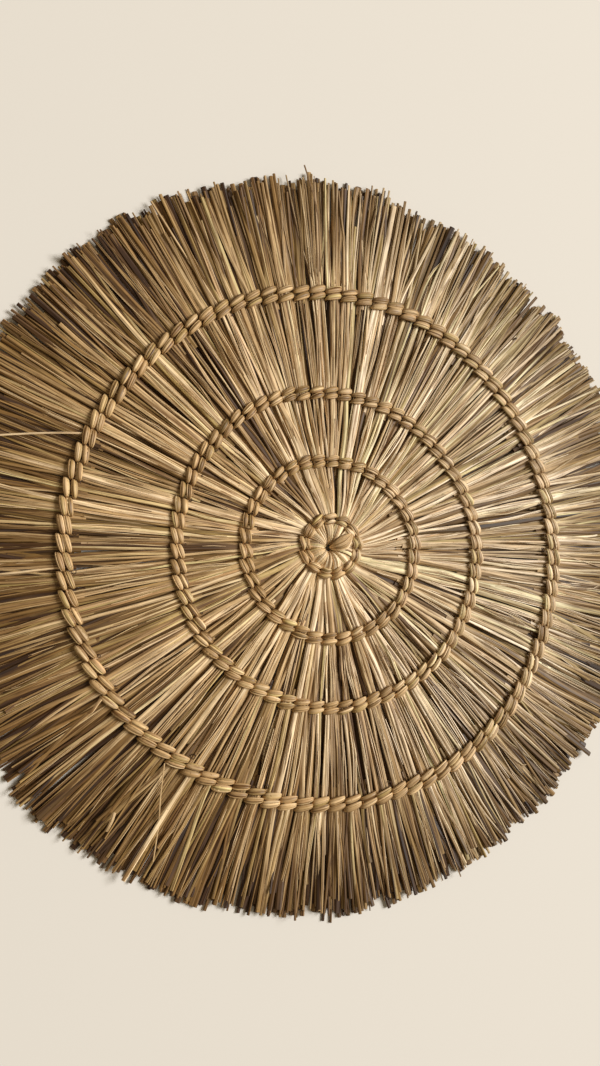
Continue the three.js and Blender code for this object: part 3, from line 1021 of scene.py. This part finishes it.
def twine_row(ring, row, strip):
    """One leaf strip of a row's strands, as a route, width, thickness, straw values and lean."""
    phase, turn = strand_phase(ring)
    over = np.cos(phase)
    strands = len(phase)
    passes = phase.shape[1] // len(STATIONS)
    wobble = sum(part["size"] * np.sin(turn * part["waves"] + part["row_shift"] * row) for part in WOBBLES)
    swell = np.repeat(1 + SWELL * dice.standard_normal((strands, passes)), len(STATIONS), axis=1)
    shape = (GAP_WIDTH + (1 - GAP_WIDTH) * np.abs(over)) * (1 - END_NARROWER * np.sin(phase))
    width = ring["strand"] * shape * swell
    radius = outline(ring, turn) + (row - 0.5) * ring["row_step"] + wobble + width * strip["place"]
    radius -= ring["slant"] * np.sin(phase)
    route = spot(radius, turn, 0.0, strand_height(phase, strip["rise"]))
    outwards = spot(1.0, turn, 0.0, 0.0) * np.cos(strip["lean"]) - np.array([0, 0, 1]) * (
        np.sin(strip["lean"]) * np.sign(over)[..., None])
    thick = strip["thick"] * (GAP_THICK + (1 - GAP_THICK) * np.abs(over))
    uneven = np.exp(STRIP_UNEVEN * dice.standard_normal((strands, passes)))
    width = width * strip["width"] * np.repeat(uneven, len(STATIONS), axis=1)
    straw = np.repeat(twine_straw(ring, turn[:, ::len(STATIONS)]), len(STATIONS), axis=1)
    return route, width, thick, straw, outwards


print("a strand has", len(STRIPS), "strips")

# %% [markdown]
# Each ring has two rows of twining side by side, an inner and an outer one. A row is one
# piece, and the two rows of a ring together take the place of its front and back solid.

# %% Rings of twining
ROW_NAMES = ["inner_row", "outer_row"]
for ring in RINGS:
    form = tube_form(6, len(STATIONS) * ring["bundles"] * (1 + ring["bundles"] % 2), closed=True)
    for row, row_name in enumerate(ROW_NAMES):
        strips = zip(*[twine_row(ring, row, strip) for strip in STRIPS])
        route, width, thick, straw, outwards = [np.concatenate(parts) for parts in strips]
        piece = lay_tubes(f"twine_{ring['name']}_{row_name}", form, route, width, thick, straw,
                          across=outwards)
        finished(piece, twine_finish, [f"twine_{ring['name']}_front", f"twine_{ring['name']}_back"])

# %% [markdown]
# One handful at the hub was folded last, so it lies on top of its neighbours. It rises
# from the hole, fans out to a plump shell and dives under the inner ring's stitches.
# One smooth shell would do for its shape, but the real one shows its stems, so they are
# laid side by side from one edge of the shell to the other.

# %% The last fold
FOLD_START = np.array([-0.6, -0.7])
FOLD_TURN = math.radians(29)
FOLD_STEMS = 23
FOLD_WIDTH = 0.85
FOLD_THICK = 0.8
FOLD_STRAY = 0.25
FOLD_TONE = 0.72
FOLD_TONE_STRAY = 0.22
FOLD_TINT = (0.3, 0.8)
FOLD_ROLL = 0.3
FOLD_PROFILE_FROM = [0, 0.35, 0.6, 0.85, 1]
FOLD_PROFILE = [0.45, 0.85, 1.0, 0.9, 0.6]
FOLD_STOPS = [
    dict(along=0.2, half=0.6, top=6.4, arch=0.2, bend=0.0),
    dict(along=1.6, half=1.9, top=10.2, arch=0.8, bend=0.4),
    dict(along=4.2, half=3.2, top=12.2, arch=1.5, bend=1.0),
    dict(along=7.4, half=3.8, top=12.8, arch=2.0, bend=1.3),
    dict(along=10.2, half=2.9, top=12.2, arch=1.8, bend=0.7),
    dict(along=12.6, half=1.5, top=10.6, arch=0.9, bend=0.1),
    dict(along=14.4, half=0.8, top=8.2, arch=0.4, bend=-0.2),
]

share = np.linspace(-1, 1, FOLD_STEMS)
ahead = np.array([math.cos(FOLD_TURN), math.sin(FOLD_TURN)])
aside = np.array([-ahead[1], ahead[0]])
stops = []
for stop in FOLD_STOPS:
    flat = FOLD_START + ahead * stop["along"] + aside * (share * stop["half"] - stop["bend"])[:, None]
    stops.append(np.column_stack([flat, stop["top"] - HALF_STEM - stop["arch"] * share ** 2]))
route = rounded(subdivide(stops, [3] * (len(stops) - 1)), passes=2)
steps = route.shape[1]
profile = np.interp(np.linspace(0, 1, steps), FOLD_PROFILE_FROM, FOLD_PROFILE)
wide = FOLD_WIDTH * profile * np.exp(FOLD_STRAY * dice.standard_normal((FOLD_STEMS, 1)))
tone = np.clip(FOLD_TONE + FOLD_TONE_STRAY * dice.standard_normal((FOLD_STEMS, 1)), 0, 1)
values = np.broadcast_arrays(tone, dice.uniform(*FOLD_TINT, (FOLD_STEMS, 1)), 0.0, np.zeros((1, steps)))
roll = dice.uniform(-FOLD_ROLL, FOLD_ROLL, (FOLD_STEMS, 1))
fold = lay_tubes("last_fold", tube_form(6, steps - 1), route, wide, FOLD_THICK * profile ** 0.5,
                 np.stack(values, axis=-1), roll, smooth=False)
finished(fold, stem_finish, ["stem_field"])

# %% [markdown]
# A few stems left their bundle. Two thin ones stand out at the top, and one of them
# leans to the left. A pale one lies across the fringe at the left, a thin one hangs
# across it at the lower left, and a wide bright one lies beside that. Two leaf ends are
# bent up. Each is a short table row of stops, as distances to the right of the hub and
# above it, and a height, because a stem that stands out has to lie in its own place.

# %% Stray stems
STRAYS = [
    dict(width=0.9, tone=0.30, weather_and_shade=0.6,
         stops=[(-3.4, 152, 8), (-3.8, 170, 10), (-4.9, 187, 11), (-12.2, 210, 11.4)]),
    dict(width=0.5, tone=0.40, weather_and_shade=0.6,
         stops=[(-3.6, 150, 6), (-4, 185, 5.5), (-4.6, 198, 5.5), (-4.9, 207, 6)]),
    dict(width=0.9, tone=1.00, weather_and_shade=0.0,
         stops=[(-129, 58, 7.5), (-142, 58, 8.2), (-161, 57, 7.5), (-187, 55, 5)]),
    dict(width=0.7, tone=0.75, weather_and_shade=0.2,
         stops=[(-92, -110, 8), (-94.2, -127, 7), (-95, -141, 6.5), (-98, -159, 6)]),
    dict(width=1.5, tone=0.80, weather_and_shade=0.1,
         stops=[(-123.5, -76, 8.6), (-126, -79, 9), (-128, -82, 9.2), (-130, -83, 8)]),
    dict(width=2.3, tone=1.00, weather_and_shade=0.1,
         stops=[(-80, -118, 8), (-89, -131, 7), (-101, -149, 6.4), (-113, -167, 5.5)]),
    dict(width=1.7, tone=0.80, weather_and_shade=0.2,
         stops=[(-117, -133, 5.6), (-118, -136, 6.4), (-119.6, -139, 6.6), (-121, -142, 5)]),
]
STRAY_FLATNESS = 0.5
STRAY_TINT = 0.5

route = np.array([row["stops"] for row in STRAYS], float)
route = rounded(subdivide(list(route.transpose(1, 0, 2)), [4] * 3))
wide = np.array([[row["width"]] for row in STRAYS])
values = np.array([[row["tone"], STRAY_TINT, row["weather_and_shade"], 0.0] for row in STRAYS])[:, None]
strays = lay_tubes("stray_stems", tube_form(6, route.shape[1] - 1), route, wide, wide * STRAY_FLATNESS,
                   values, smooth=False)
finished(strays, stem_finish, ["stem_field", "stem_fringe"])

# %% [markdown]
# Small dark curls sit in the gaps just inside the three outer rings, where leaf edges
# have split off and rolled up. Each is half a turn to about one turn of a little coil,
# laid as a tube like all the others.

# %% Curls beside the rings
CURL_SHARE = 0.34
CURL_STEPS = 9
CURL_SMALLEST = 0.5
CURL_LARGEST = [0.7, 0.8, 1.6]
CURL_TURNS = (0.5, 1.1)
CURL_HEIGHTS = (6.4, 7.8)
CURL_AROUND = 0.1
CURL_INSIDE = (0.6, 2.2)
CURL_WIDTH = 0.45
CURL_THICK = 0.30
CURL_STRAW = [0.0, 0.5, 0.9, 0.0]

routes = []
for ring, largest in zip(RINGS[1:], CURL_LARGEST):
    gaps = np.flatnonzero(dice.random(ring["bundles"]) < CURL_SHARE)
    column = (len(gaps), 1)
    around = dice.uniform(-CURL_AROUND, CURL_AROUND, len(gaps))
    turn = (gaps + RIDGE_PLACE + 0.5 + around) * TURN / ring["bundles"]
    beside = outline(ring, turn) - (ring["row_step"] + ring["strand"]) / 2
    beside -= dice.uniform(*CURL_INSIDE, len(gaps))
    shares = np.linspace(0, 1, CURL_STEPS)
    angle = dice.uniform(0, TURN, column) + shares * dice.uniform(*CURL_TURNS, column) * TURN
    size = dice.uniform(CURL_SMALLEST, largest, column) * np.linspace(0.6, 1.1, CURL_STEPS)
    height = dice.uniform(*CURL_HEIGHTS, column) + np.linspace(-0.5, 0.7, CURL_STEPS)
    routes.append(spot(beside[:, None] + size * np.cos(angle), turn[:, None], size * np.sin(angle), height))
route = np.concatenate(routes)
values = np.array(CURL_STRAW)[None, None]
curls = lay_tubes("leaf_curls", tube_form(4, CURL_STEPS - 1), route, CURL_WIDTH, CURL_THICK, values)
finished(curls, stem_finish, ["stem_field"])
